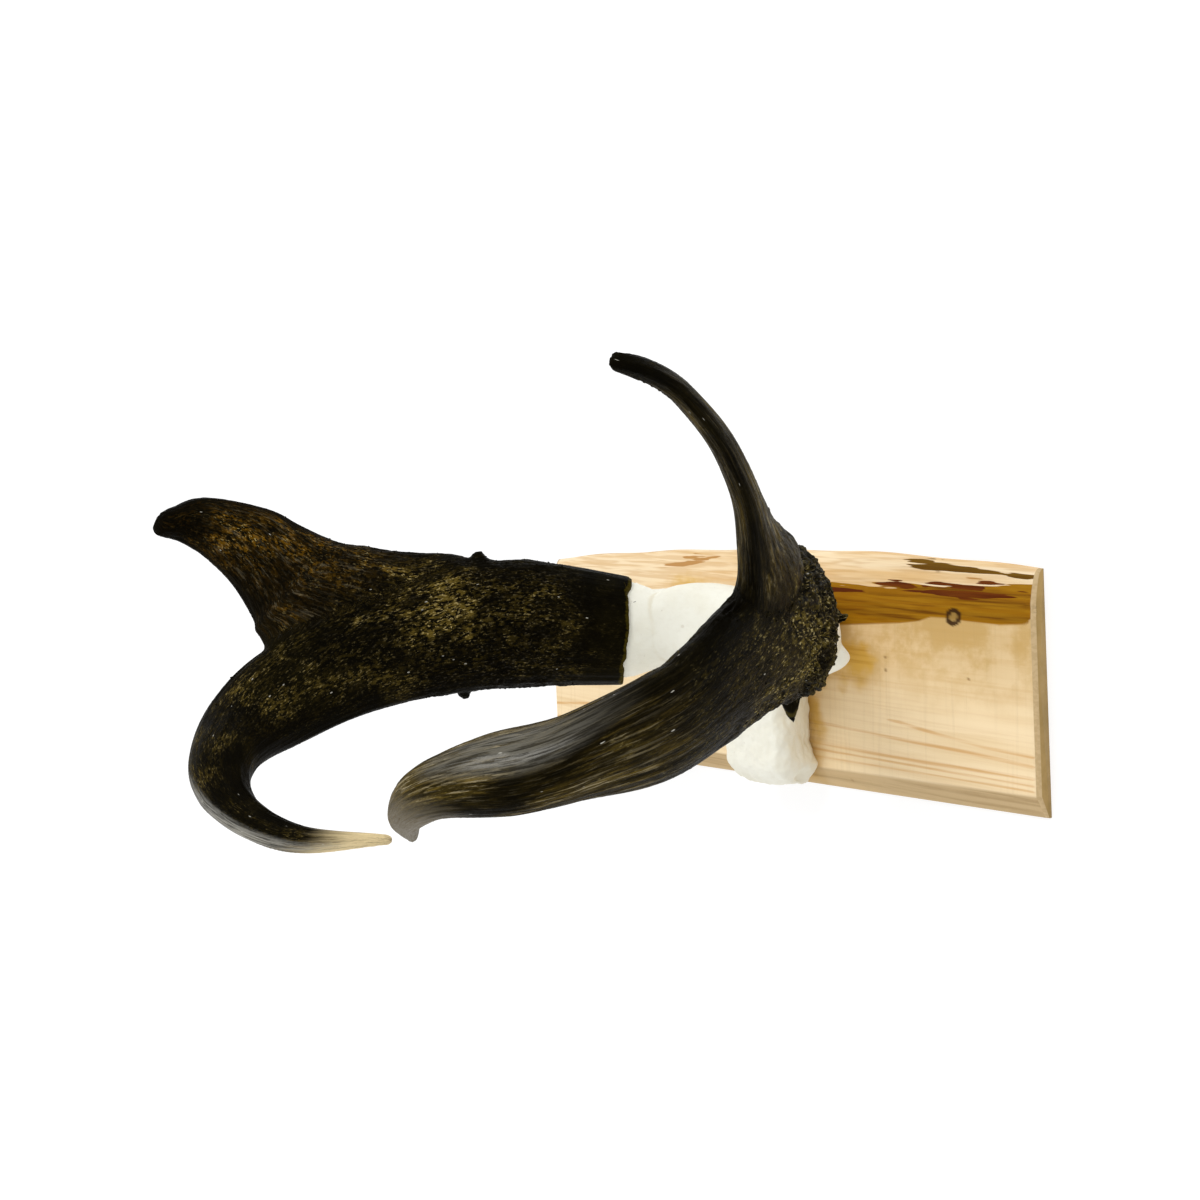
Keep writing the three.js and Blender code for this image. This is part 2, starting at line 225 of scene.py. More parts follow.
def near(points, middle, reach):
    """1 at the middle, fading to nothing a little past its reach."""
    return np.exp(-((np.linalg.norm(points - middle, axis=1) / reach) ** 2))


def unit(vectors):
    return vectors / np.linalg.norm(vectors, axis=-1, keepdims=True)


def place(side, points):
    """Rows of out, forward, up as points of the object."""
    points = np.asarray(points, float)
    return np.stack([SKULL_X + side * points[..., 0], -points[..., 1], points[..., 2]], -1)


def through(rows, at):
    """The rows' values read off a smooth curve through all of them."""
    rows = np.asarray(rows, float)
    padded = np.vstack([2 * rows[0] - rows[1], rows, 2 * rows[-1] - rows[-2]])
    here = np.minimum(at.astype(int), len(rows) - 2)
    t = (at - here)[:, None]
    p0, p1, p2, p3 = (padded[here + step] for step in range(4))
    linear = p2 - p0
    square = 2 * p0 - 5 * p1 + 4 * p2 - p3
    cube = 3 * (p1 - p2) + p3 - p0
    return p1 + 0.5 * t * (linear + t * (square + t * cube))


# ---- horn curves ----


def beam_line(rows, side, at):
    row = through(rows, at)
    centre = place(side, row[:, :3])
    along = unit(np.gradient(centre, axis=0))
    flat = np.array(FLAT_OF_HORN) * (side, 1, 1)
    wide = unit(flat - along * (along @ flat)[:, None])
    deep = np.cross(wide, along) * row[:, 3:4]
    return centre, along, deep, wide * row[:, 4:5]


def prong_line(rows, side, at):
    row = through(rows, at)
    front, fork = place(side, row[:, :3]), place(side, row[:, 3:6])
    centre = (front + fork) / 2
    along = unit(np.gradient(centre, axis=0))
    deep = front - centre
    return centre, along, deep, unit(np.cross(along, deep)) * row[:, 6:7]


def even_stations(line, rows, side, spacing):
    """Stations spaced evenly along the horn, with the length from the root to each."""
    dense = np.linspace(0, len(rows) - 1, 1200)
    centre = line(rows, side, dense)[0]
    length = np.concatenate([[0], np.cumsum(np.linalg.norm(np.diff(centre, axis=0), axis=1))])
    steps = np.linspace(0, length[-1], int(length[-1] / spacing))
    return np.interp(steps, length, dense), steps


def round_ring(centre, deep, wide, sides):
    angle = np.arange(sides) * 2 * math.pi / sides
    return centre + np.outer(np.cos(angle), deep) + np.outer(np.sin(angle), wide)


def twist_of(along, deep):
    """How far each ring has turned about the curve, so that the grain runs on without turning."""
    carried = unit(deep[0])
    turns = []
    for ahead, front in zip(along, deep):
        carried = unit(carried - ahead * (carried @ ahead))
        turns.append(math.atan2(front @ np.cross(ahead, carried), front @ carried))
    return np.unwrap(turns)


def rings_of(line, rows, side, sides, spacing=1.2):
    """Even rings along a horn, rounded off at the tip."""
    at, steps = even_stations(line, rows, side, spacing)
    centre, along, deep, wide = line(rows, side, at)
    rings = [round_ring(c, d, w, sides) for c, d, w in zip(centre, deep, wide)]
    twist = twist_of(along, deep)
    reach = min(np.linalg.norm(deep[-1]), np.linalg.norm(wide[-1]))
    for turn in np.radians([20, 40, 60, 75]):
        tip = centre[-1] + along[-1] * reach * math.sin(turn)
        rings.append(round_ring(tip, deep[-1] * math.cos(turn), wide[-1] * math.cos(turn), sides))
    return rings, (centre, along, deep, wide, steps, twist)


# ---- meshes ----


def skin(rings):
    """Points and faces of a closed skin over equal rings; both ends are fanned shut."""
    rings = np.asarray(rings)
    count, sides = rings.shape[:2]
    points = rings.reshape(-1, 3)
    corner = np.arange(sides)
    following = (corner + 1) % sides
    faces = []
    for ring in range(count - 1):
        a, b = ring * sides + corner, ring * sides + following
        faces += np.stack([a, b, b + sides, a + sides], 1).tolist()
    hubs = np.array([rings[0].mean(0), rings[-1].mean(0)])
    first, last = len(points), len(points) + 1
    end = (count - 1) * sides
    faces += [[first, b, a] for a, b in zip(corner, following)]
    faces += [[last, end + a, end + b] for a, b in zip(corner, following)]
    return np.vstack([points, hubs]), faces


def mesh_from(name, points, faces):
    """An object whose points are given in millimetres."""
    mesh = bpy.data.meshes.new(name)
    mesh.from_pydata((np.asarray(points) * MM).tolist(), [], faces)
    mesh.update()
    piece = bpy.data.objects.new(name, mesh)
    bpy.context.scene.collection.objects.link(piece)
    return piece


def points_of(mesh):
    points = np.empty(len(mesh.vertices) * 3)
    mesh.vertices.foreach_get("co", points)
    return points.reshape(-1, 3) / MM


def set_points(mesh, points):
    mesh.vertices.foreach_set("co", (points * MM).ravel())
    mesh.update()


def normals_of(mesh):
    normals = np.empty(len(mesh.vertices) * 3)
    mesh.vertex_normals.foreach_get("vector", normals)
    return normals.reshape(-1, 3)


def applied(piece):
    """The piece with its modifiers made part of its mesh."""
    bpy.context.view_layer.update()
    evaluated = piece.evaluated_get(bpy.context.evaluated_depsgraph_get())
    mesh = bpy.data.meshes.new_from_object(evaluated)
    piece.modifiers.clear()
    old = piece.data
    piece.data = mesh
    bpy.data.meshes.remove(old)
    mesh.name = piece.name
    return piece


def grown_together(name, shells, voxel):
    """One skin around overlapping closed shells, in even small faces."""
    points, faces = [], []
    for shell_points, shell_faces in shells:
        start = sum(len(p) for p in points)
        points.append(shell_points)
        faces += [[index + start for index in face] for face in shell_faces]
    piece = mesh_from(name, np.vstack(points), faces)
    remesh = piece.modifiers.new("grow", "REMESH")
    remesh.mode = "VOXEL"
    remesh.voxel_size = voxel * MM
    return applied(piece)


def smoothed(mesh, points, weight, rounds):
    """Points drawn towards the middle of their neighbours, as far as weight (0 to 1) lets each."""
    edges = np.empty(len(mesh.edges) * 2, np.int64)
    mesh.edges.foreach_get("vertices", edges)
    a, b = edges.reshape(-1, 2).T
    start, finish = np.concatenate([a, b]), np.concatenate([b, a])
    valence = np.bincount(start, minlength=len(points))
    for _ in range(rounds):
        middle = np.stack(
            [np.bincount(start, points[finish, axis], len(points)) / valence for axis in range(3)], 1
        )
        points = points + (middle - points) * (weight * 0.5)[:, None]
    return points


def add_attributes(mesh, fields):
    """Each name with its numbers or vectors, one for each point, for the materials to read."""
    for name, values in fields.items():
        kind, field = ("FLOAT_VECTOR", "vector") if values.ndim == 2 else ("FLOAT", "value")
        attribute = mesh.attributes.new(name, kind, "POINT")
        attribute.data.foreach_set(field, values.astype(np.float32).ravel())


def shade_smooth(piece):
    piece.data.polygons.foreach_set("use_smooth", [True] * len(piece.data.polygons))
    piece.data.update()


# ---- shader building blocks ----


class Wiring:
    """Adds nodes to one node tree; an input is a value or the socket it is linked from."""

    def __init__(self, tree):
        self.tree = tree

    def feed(self, socket, value):
        if isinstance(value, bpy.types.NodeSocket):
            self.tree.links.new(value, socket)
        else:
            socket.default_value = value

    def add(self, kind, inputs=None, **settings):
        node = self.tree.nodes.new(kind)
        for key, value in settings.items():
            setattr(node, key, value)
        for key, value in (inputs or {}).items():
            self.feed(node.inputs[key], value)
        return node

    def math(self, operation, a, b):
        return self.add("ShaderNodeMath", {0: a, 1: b}, operation=operation).outputs[0]

    def product(self, *factors):
        result = factors[0]
        for factor in factors[1:]:
            result = self.math("MULTIPLY", result, factor)
        return result

    def step(self, value, low, high, start=0.0, end=1.0):
        """start below low, end above high, and smooth between them."""
        inputs = {"Value": value, "From Min": low, "From Max": high, "To Min": start, "To Max": end}
        return self.add("ShaderNodeMapRange", inputs, interpolation_type="SMOOTHSTEP").outputs[0]

    def band(self, value, low, rise, fall, high):
        """1 between rise and fall, 0 outside low and high."""
        return self.product(self.step(value, low, rise), self.step(value, fall, high, 1.0, 0.0))

    def layer(self, mask, under, over):
        return self.add("ShaderNodeMix", {0: mask, 6: under, 7: over}, data_type="RGBA").outputs[2]

    def coats(self, colour, *rows):
        """Colours laid over the first one; a row is a mask, its strength and its colour."""
        for mask, strength, over in rows:
            colour = self.layer(self.product(mask, strength), colour, over)
        return colour

    def stretch(self, vector, factors):
        inputs = {0: vector, 1: factors}
        return self.add("ShaderNodeVectorMath", inputs, operation="MULTIPLY").outputs[0]

    def group(self, tree, *values):
        """What a shader group puts out, with its inputs given in their order."""
        node = self.add("ShaderNodeGroup", node_tree=tree)
        for socket, value in zip(node.inputs, values):
            self.feed(socket, value)
        return node.outputs

    def attribute(self, name, output="Fac"):
        return self.add("ShaderNodeAttribute", attribute_name=name).outputs[output]


def rgb(red, green, blue):
    return (red, green, blue, 1.0)


def new_group(name, numbers, outputs):
    """An empty shader group: a vector and named numbers go in, and named values come out."""
    tree = bpy.data.node_groups.new(name, "ShaderNodeTree")
    tree.interface.new_socket("Vector", in_out="INPUT", socket_type="NodeSocketVector")
    for label, default in numbers.items():
        socket = tree.interface.new_socket(label, in_out="INPUT", socket_type="NodeSocketFloat")
        socket.default_value = default
    for label in outputs:
        tree.interface.new_socket(label, in_out="OUTPUT", socket_type="NodeSocketFloat")
    w = Wiring(tree)
    return tree, w, w.add("NodeGroupInput").outputs, w.add("NodeGroupOutput").inputs


def put_out_noise(w, given, result, inputs):
    """Noise as the Height, and where it rises from Low to High as the Mask."""
    noise = w.add("ShaderNodeTexNoise", inputs).outputs[0]
    w.feed(result["Mask"], w.step(noise, given["Low"], given["High"]))
    w.feed(result["Height"], noise)


def streak_group():
    """Long thin streaks: noise drawn out along the third axis of its vector."""
    numbers = {"Across": 400.0, "Along": 20.0, "Low": 0.5, "High": 0.7, "Detail": 4.0}
    tree, w, given, result = new_group("streaks", numbers, ["Mask", "Height"])
    sizes = {0: given["Across"], 1: given["Across"], 2: given["Along"]}
    drawn = w.stretch(given["Vector"], w.add("ShaderNodeCombineXYZ", sizes).outputs[0])
    inputs = {"Vector": drawn, "Scale": 1.0, "Detail": given["Detail"], "Roughness": 0.6}
    put_out_noise(w, given, result, inputs | {"Distortion": 0.3})
    return tree


def mottle_group():
    """Irregular patches of noise."""
    numbers = {"Scale": 100.0, "Low": 0.45, "High": 0.6}
    tree, w, given, result = new_group("mottle", numbers, ["Mask", "Height"])
    inputs = {"Vector": given["Vector"], "Scale": given["Scale"], "Detail": 6.0, "Roughness": 0.62}
    put_out_noise(w, given, result, inputs)
    return tree


def speck_group():
    """Small scattered spots; Share is how many of the possible places hold one."""
    numbers = {"Scale": 300.0, "Radius": 0.25, "Share": 0.2}
    tree, w, given, result = new_group("specks", numbers, ["Mask"])
    cells = w.add("ShaderNodeTexVoronoi", {"Vector": given["Vector"], "Scale": given["Scale"]})
    chance = w.add("ShaderNodeSeparateColor", {0: cells.outputs["Color"]}).outputs[0]
    chosen = w.math("LESS_THAN", chance, given["Share"])
    size = w.math("MULTIPLY", given["Radius"], 0.5)
    spot = w.step(cells.outputs["Distance"], size, given["Radius"], 1.0, 0.0)
    w.feed(result["Mask"], w.product(chosen, spot))
    return tree


# After the vector, their inputs in order are across, along, low, high and detail for streaks, scale,
# low and high for mottle, and scale, radius and share for specks.
STREAKS = streak_group()
MOTTLE = mottle_group()
SPECKS = speck_group()


def new_material(name):
    material = bpy.data.materials.new(name)
    material.use_nodes = True
    w = Wiring(material.node_tree)
    place_on = w.add("ShaderNodeTexCoord").outputs["Object"]
    return material, w, material.node_tree.nodes["Principled BSDF"], place_on


def finish_material(w, surface, colour, roughness, specular, heights):
    """heights is a list of (height socket, strength, distance)."""
    w.feed(surface.inputs["Base Color"], colour)
    w.feed(surface.inputs["Roughness"], roughness)
    w.feed(surface.inputs["Specular IOR Level"], specular)
    normal = {}
    for height, strength, distance in heights:
        inputs = {"Height": height, "Strength": strength, "Distance": distance}
        normal = {"Normal": w.add("ShaderNodeBump", inputs | normal).outputs[0]}
    w.feed(surface.inputs["Normal"], normal["Normal"])


# ---- horn sheaths ----


def horn_material(
    name, tan, warm, bright, streaked, streak_colour, tip_start, tip_colour, olive,
    prong_streaks, painted_sheen_colour,
):
    """Horn: tan on its beam, warm on its prong and bright in specks. streaked is where along the
    beam pale streaks show, prong_streaks is how strong they are on the prong, olive is how much of
    the bend is greenish, and from tip_start on the horn is worn."""
    material, w, surface, place_on = new_material(name)
    grain = w.attribute("grain", "Vector")
    labels = ("reach", "prong", "warts", "relief", "collar", "gloss_and_painted_sheen_zone", "gilt", "fringe")
    reach, prong, warts, relief, collar, gloss_and_painted_sheen_zone, gilt, fringe = map(w.attribute, labels)
    drawn = w.stretch(grain, (1.0, 1.0, 0.42))

    clouds = w.group(MOTTLE, place_on, 30.0, 0.44, 0.6)["Mask"]
    broad = w.group(MOTTLE, drawn, 150.0, 0.42, 0.6)["Mask"]
    flaky = w.group(MOTTLE, drawn, 760.0, 0.46, 0.6)
    glint = w.group(MOTTLE, drawn, 1200.0, 0.56, 0.66)["Mask"]
    fibre = w.group(STREAKS, grain, 700.0, 64.0, 0.46, 0.62)
    swathe = w.group(STREAKS, grain, 300.0, 22.0, 0.42, 0.6)
    dash = w.group(STREAKS, grain, 850.0, 66.0, 0.53, 0.64)["Mask"]
    specks_and_painted_glints = w.group(SPECKS, drawn, 330.0, 0.12, 0.13)["Mask"]

    # The mottling is weak on the collar and on the edges, and warmer on the prong.
    face = w.step(w.attribute("face"), 0.25, 0.85, 0.12, 1.0)
    plain = w.product(w.step(collar, 0.25, 0.9, 1.0, 0.12), face)
    patchy = w.product(w.step(broad, 0.0, 1.0, 0.22, 1.0), w.step(clouds, 0.0, 1.0, 0.2, 1.0), GOLD)
    patchy = w.product(patchy, plain, gilt)
    # The streaks run in swathes, along the beam and up the prong.
    streaks = w.product(w.band(prong, 0.1, 0.35, 0.82, 0.96), prong_streaks)
    streaks = w.math("ADD", w.band(reach, *streaked), streaks)
    streaks = w.product(streaks, w.step(swathe["Mask"], 0.0, 1.0, 0.25, 1.0))
    streaks = w.product(streaks, w.step(broad, 0.0, 1.0, 0.5, 1.0), face)
    crest = w.product(w.step(relief, 0.5, 1.6), warts, 0.55)
    lower = w.step(w.attribute("lower"), -0.2, 0.7)
    bend = w.product(w.band(reach, 0.7, 0.8, 0.93, 1.0), w.step(fibre["Height"], 0.4, 0.6), lower)
    uneven_reach = w.math("ADD", reach, w.product(swathe["Height"], 0.08))
    uneven_reach = w.math("ADD", uneven_reach, w.product(lower, 0.04))
    worn = w.step(uneven_reach, tip_start + 0.04, tip_start + 0.13)
    torn_rim = w.step(w.math("ADD", fringe, w.product(flaky["Height"], 0.8)), 1.15, 1.45)
    # Painted highlight: a pale sheen colour is painted where the horn faces the light, and the coat is
    # glossier there.
    gloss_and_painted_sheen = w.product(gloss_and_painted_sheen_zone, w.step(fibre["Height"], 0.38, 0.6, 0.25, 1.0))
    colour = w.coats(
        w.layer(clouds, rgb(0.0022, 0.0016, 0.0003), rgb(0.0048, 0.0036, 0.0008)),
        (patchy, flaky["Mask"], w.layer(w.step(prong, 0.1, 0.55), tan, warm)),
        (w.product(glint, patchy), w.step(prong, 0.0, 0.3, 1.0, 0.55), bright),
        (streaks, 0.3, streak_colour),
        (streaks, fibre["Mask"], streak_colour),
        (w.product(streaks, dash), 0.8, w.layer(0.6, streak_colour, rgb(0.6, 0.52, 0.34))),
        (crest, w.step(flaky["Height"], 0.35, 0.6), rgb(0.085, 0.066, 0.02)),
        (bend, olive, rgb(0.15, 0.11, 0.028)),
        (worn, 1.0, w.layer(w.product(dash, 0.5), tip_colour, rgb(0.09, 0.06, 0.02))),
        (torn_rim, 0.8, rgb(0.055, 0.04, 0.003)),
        # painted highlight: the sheen as a pale colour
        (gloss_and_painted_sheen, 0.75, painted_sheen_colour),
        # pale specks: dust and chips, with painted glints among them
        (specks_and_painted_glints, 0.8, rgb(0.55, 0.53, 0.46)),
    )
    gloss = w.math("ADD", w.product(gloss_and_painted_sheen, 0.35), w.product(glint, warts, 0.3))
    w.feed(surface.inputs["Coat Weight"], gloss)
    w.feed(surface.inputs["Coat Roughness"], 0.24)
    flakes = w.product(flaky["Height"], w.step(warts, 0.0, 1.0, 0.3, 1.0), plain)
    heights = [(swathe["Height"], 0.5, 0.0014), (fibre["Height"], 0.5, 0.0007), (flakes, 1.0, 0.0019)]
    roughness = w.step(flaky["Height"], 0.35, 0.65, 0.34, 0.5)
    finish_material(w, surface, colour, roughness, 0.015, heights)
    return material


# how far out along a lump, and its size there
LUMP_SHAPES = {
    "pointed": ((-0.6, 0.9), (0, 1), (0.35, 0.85), (0.65, 0.55), (0.85, 0.3), (1, 0.12)),
    "blunt": ((-0.6, 1.1), (0, 1), (0.35, 0.95), (0.65, 0.85), (0.85, 0.65), (1, 0.3)),
}


def lump_skin(side, root, tip, radius, kind="pointed"):
    foot, peak = place(side, root), place(side, tip)
    along = peak - foot
    wide = np.cross((0, 0, 1), along)
    wide *= radius / np.linalg.norm(wide)
    deep = unit(np.cross(wide, along)) * radius
    shape = LUMP_SHAPES[kind]
    return skin([round_ring(foot + along * t, deep * size, wide * size, 16) for t, size in shape])


def nearest(points, targets):
    """For each point, which target is nearest and how far away it is."""
    tree = kdtree.KDTree(len(targets))
    for index, target in enumerate(targets):
        tree.insert(target, index)
    tree.balance()
    found = [tree.find(point)[1:] for point in points]
    return np.array([f[0] for f in found]), np.array([f[1] for f in found])


def straightened(points, line, ring):
    """Where points lie on a horn made straight and round, across, across and along it, and how much
    each is on a flat side (1) or an edge (0)."""
    centre, along, deep, wide, steps, twist = line
    ring = np.minimum(ring, len(centre) - 1)
    offset = points - centre[ring]
    depth, width = np.linalg.norm(deep[ring], axis=1), np.linalg.norm(wide[ring], axis=1)
    front = np.einsum("ij,ij->i", offset, deep[ring]) / depth**2
    out = np.einsum("ij,ij->i", offset, wide[ring]) / width**2
    angle = np.arctan2(out, front) + twist[ring]
    radius = 8 + np.sqrt(depth * width)
    length = steps[ring] + np.einsum("ij,ij->i", offset, along[ring])
    face = np.abs(out) / np.maximum(np.hypot(front, out), 1e-6)
    return np.stack([radius * np.cos(angle), radius * np.sin(angle), length, face], 1)


def fluted(straight, seed):
    """The long shallow grooves along a horn."""
    straight = straight[:, :3]
    return 0.32 * lumps(straight, (4, 4, 80), seed) + 0.2 * lumps(straight, (1.9, 1.9, 34), seed + 1)


def horn(
    name, beam, prong, lumps_on, side, seed, rough_reach, roughness, trim, swellings, webs, gilt,
    collar_length, painted_sheen_band, painted_sheen_way,
):
    """One sheath: its beam, prong and lumps grown together, with its relief. rough_reach and
    collar_length are how far from the rim the rough part and the smooth collar go, trim is how
    much the rough part is sunk, and the shine, a glossier coat with a highlight painted into its
    colour, lies inside the band of reach given next to last and faces the way given last."""
    beam_rings, beam_path = rings_of(beam_line, beam, side, SHEATH_SIDES)
    prong_rings, prong_path = rings_of(prong_line, prong, side, SHEATH_SIDES)
    shells = [skin(beam_rings), skin(prong_rings)]
    shells += [lump_skin(side, *row) for row in lumps_on + webs]
    piece = grown_together(name, shells, SHEATH_FACE)
    mesh = piece.data
    points = points_of(mesh)

    beam_index, beam_gap = nearest(points, np.vstack(beam_rings))
    prong_index, prong_gap = nearest(points, np.vstack(prong_rings))
    crease = np.exp(-((np.maximum(beam_gap, prong_gap) / CREASE_REACH) ** 2))
    points = smoothed(mesh, points, crease, CREASE_ROUNDS)
    points = smoothed(mesh, points, np.full(len(points), 0.6), 3)
    set_points(mesh, points)

    on_prong = ease(-CREASE_REACH, CREASE_REACH, beam_gap - prong_gap)
    on_beam = straightened(points, beam_path, beam_index // SHEATH_SIDES)
    off_beam = straightened(points, prong_path, prong_index // SHEATH_SIDES)
    beam_length, prong_length = beam_path[4][-1], prong_path[4][-1]
    root = beam_path[4][nearest(prong_path[0][:1], beam_path[0])[0][0]]
    off_beam[:, 2] += root
    grain = np.where((on_prong > 0.5)[:, None], off_beam, on_beam)[:, :3]
    reach = on_beam[:, 2] / beam_length * (1 - on_prong)
    prong_reach = (off_beam[:, 2] - root) / prong_length * on_prong

    # Relief: crumbled warts near the skull, a smoother collar at the rim, long flutes everywhere.
    length = grain[:, 2]
    fade = crumbled(points, 30, seed + 9) * 0.25
    front = ease(0.1, 0.8, -normals_of(mesh)[:, 1])
    near_skull = ease(rough_reach, rough_reach * 0.35, length - 40 * front + fade * rough_reach)
    torn = length + 0.28 * collar_length * crumbled(on_beam[:, :3], (7, 7, 12), seed + 10)
    collar = ease(collar_length, collar_length * 0.6, torn) * (1 - on_prong)
    warts = near_skull * ease(collar_length * 0.5, collar_length * 1.3, length)
    ridges = 1 - np.abs(crumbled(on_beam[:, :3], (4.5, 4.5, 12), seed + 3)) * 2.4
    crumbs = 0.8 * crumbled(points, 8, seed) + 0.9 * crumbled(on_beam[:, :3], (4, 4, 10), seed + 12)
    relief = warts * roughness * (crumbs + 0.7 * ridges - 0.2)
    slim = 1 - ease(0.75, 1.0, reach) * 0.85
    relief += slim * blend(fluted(on_beam, seed + 5), fluted(off_beam, seed + 5), on_prong)
    crests = relief.copy()

    # Crumbled knobs on the lumps, and the soft swellings.
    knobs = np.max([near(points, place(side, tip), KNOB_REACH) for _, tip, *_ in lumps_on], axis=0)
    relief += knobs * (0.3 + 0.8 * crumbled(points, 3.2, seed + 7))
    relief -= 0.15 + trim * warts
    normals = normals_of(mesh)
    for middle, height in swellings:
        relief += height * near(points, place(side, middle), SWELLING_REACH) * front
    points = points + normals * relief[:, None]

    # A ragged rim, which is longer on the inner side.
    ragged = np.maximum(0, 0.5 + 2.0 * lumps(on_beam[:, :3] * (1, 1, 0.1), 9, seed + 8))
    along, wide = beam_path[1][0], beam_path[3][0]
    inward = -(points - beam_path[0][0]) @ wide / (wide @ wide)
    ragged += 2.5 * ease(0.1, 0.8, inward)
    points = points + np.outer(ragged * ease(9, 0.5, length) * (1 - on_prong), along)
    set_points(mesh, points)

    gilded = np.full(len(points), 0.2)
    for *middle, spread, strength in gilt:
        gilded += strength * near(points, place(side, middle), spread)
    low, full, fall, end = painted_sheen_band
    # Painted highlight: where the normals face the given way, inside the band along the horn, a sheen
    # is painted into the colour and the coat is made glossier.
    gloss_and_painted_sheen_zone = ease(0.72, 0.97, normals @ unit(np.array(painted_sheen_way)))
    fields = {
        "grain": grain * MM,
        "reach": reach,
        "prong": prong_reach,
        "warts": warts,
        "relief": crests,
        "collar": collar,
        "gilt": np.minimum(gilded, 1.3),
        "gloss_and_painted_sheen_zone": gloss_and_painted_sheen_zone * (ease(low, full, reach) * ease(end, fall, reach)),
        "face": np.where(on_prong > 0.5, off_beam[:, 3], on_beam[:, 3]),
        "lower": normals[:, 1],
        "fringe": ease(6, 1, length) * (length > -1),
    }
    add_attributes(mesh, fields)
    shade_smooth(piece)
    return piece


# ---- what is scattered over the sheaths ----


def flake(build):
    """A flat crumb of horn, one unit long."""
    ball = build("GeometryNodeMeshIcoSphere", {"Radius": 1.0, "Subdivisions": 1})
    return build("GeometryNodeTransform", {0: ball.outputs[0], "Scale": (1.0, 0.55, 0.4)}).outputs[0]


def fibre(build):
    """A thin bent hair, one unit long, pointing away from the horn."""
    bow = build(
        "GeometryNodeCurveQuadraticBezier",
        {"Resolution": 5, "Start": (0, 0, -0.1), "Middle": (0.1, 0, 0.6), "End": (0.55, 0, 0.9)},
    )
    round_wire = build("GeometryNodeCurvePrimitiveCircle", {"Resolution": 4, "Radius": 0.035})
    inputs = {"Curve": bow.outputs[0], "Profile Curve": round_wire.outputs[0], "Fill Caps": True}
    return build("GeometryNodeCurveToMesh", inputs).outputs[0]


def scatter_tree(name, shape, where):
    """Copies of a shape, scattered as thickly as the attribute called where is strong."""
    tree = bpy.data.node_groups.new(name, "GeometryNodeTree")
    kinds = {"Sheath": "Geometry", "Seed": "Int", "Material": "Material"}
    for label in ("Sheath", "Per Square Metre", "Smallest", "Largest", "Seed", "Material"):
        kind = "NodeSocket" + kinds.get(label, "Float")
        tree.interface.new_socket(label, in_out="INPUT", socket_type=kind)
    tree.interface.new_socket("Crumbs", in_out="OUTPUT", socket_type="NodeSocketGeometry")
    build = Wiring(tree).add
    given = build("NodeGroupInput").outputs
    strength = build("GeometryNodeInputNamedAttribute", {"Name": where}, data_type="FLOAT")
    density = Wiring(tree).product(strength.outputs[0], given["Per Square Metre"])
    inputs = {"Mesh": given["Sheath"], "Density": density, "Seed": given["Seed"]}
    spread = build("GeometryNodeDistributePointsOnFaces", inputs)
    spin = build(
        "FunctionNodeRandomValue",
        {0: (-0.5, -0.5, 0.0), 1: (0.5, 0.5, 2 * math.pi), "Seed": given["Seed"]},
        data_type="FLOAT_VECTOR",
    )
    turn = build("FunctionNodeEulerToRotation", {0: spin.outputs[0]})
    inputs = {0: spread.outputs["Rotation"], 1: turn.outputs[0]}
    turned = build("FunctionNodeRotateRotation", inputs, rotation_space="LOCAL")
    sizes = {2: given["Smallest"], 3: given["Largest"], 8: given["Seed"]}
    size = build("FunctionNodeRandomValue", sizes, data_type="FLOAT")
    inputs = {"Points": spread.outputs["Points"], "Instance": shape(build)}
    inputs |= {"Rotation": turned.outputs[0], "Scale": size.outputs[1]}
    copies = build("GeometryNodeInstanceOnPoints", inputs)
    real = build("GeometryNodeRealizeInstances", {0: copies.outputs[0]})
    smooth = build("GeometryNodeSetShadeSmooth", {0: real.outputs[0]})
    inputs = {0: smooth.outputs[0], "Material": given["Material"]}
    finished = build("GeometryNodeSetMaterial", inputs)
    build("NodeGroupOutput", {0: finished.outputs[0]})
    return tree


def scattered(name, sheath, tree, values):
    """The scattered copies over a sheath as a plain mesh of their own."""
    piece = bpy.data.objects.new(name, sheath.data.copy())
    bpy.context.scene.collection.objects.link(piece)
    modifier = piece.modifiers.new("scatter", "NODES")
    modifier.node_group = tree
    for socket in tree.interface.items_tree:
        if socket.in_out == "INPUT" and socket.name in values:
            modifier[socket.identifier] = values[socket.name]
    return applied(piece)


FLAKES = scatter_tree("horn_flakes", flake, "warts")
FIBRES = scatter_tree("horn_fibres", fibre, "fringe")


# ---- skull cap ----


# How far forward the brow's edge reaches, from the skull's middle out to the horns.
BROW_EDGE = (
    (0, 36), (9.6, 38.9), (21, 42.3), (27, 43.9), (31.6, 44.6), (38, 44.6), (41.5, 43.4),
    (43.5, 40.8), (46.6, 40.4), (49, 41.5), (51, 43), (54, 40),
)


def signed_power(value, exponent):
    """A power that keeps the sign, which squares off or pinches a round ring."""
    return np.sign(value) * np.abs(value) ** exponent


def brow_skin():
    rings = []
    half_width, sides = 54, 48
    angle = np.arange(sides) * 2 * math.pi / sides
    outs, fronts = zip(*BROW_EDGE)
    for out in np.linspace(half_width, -half_width, 110):
        share = abs(out) / half_width
        top = 48 + 19 * min(share * 1.4, 1) ** 2
        lift = max(0, abs(out) - 26)
        foot = BONE_FOOT + lift * (1.1 - 0.001 * lift)
        front = np.interp(abs(out), outs, fronts)
        back = blend(20, -6, (share - 0.1) * 2.2)
        waist = blend(foot, top, 0.45)
        rise = signed_power(np.sin(angle), 0.75)
        forward = (front - back) / 2 + (front + back) / 2 * signed_power(np.cos(angle), 0.6)
        up = waist + rise * np.where(rise > 0, top - waist, waist - foot)
        rings.append(place(1, np.stack([np.full(sides, out), forward, up], 1)))
    return skin(rings)


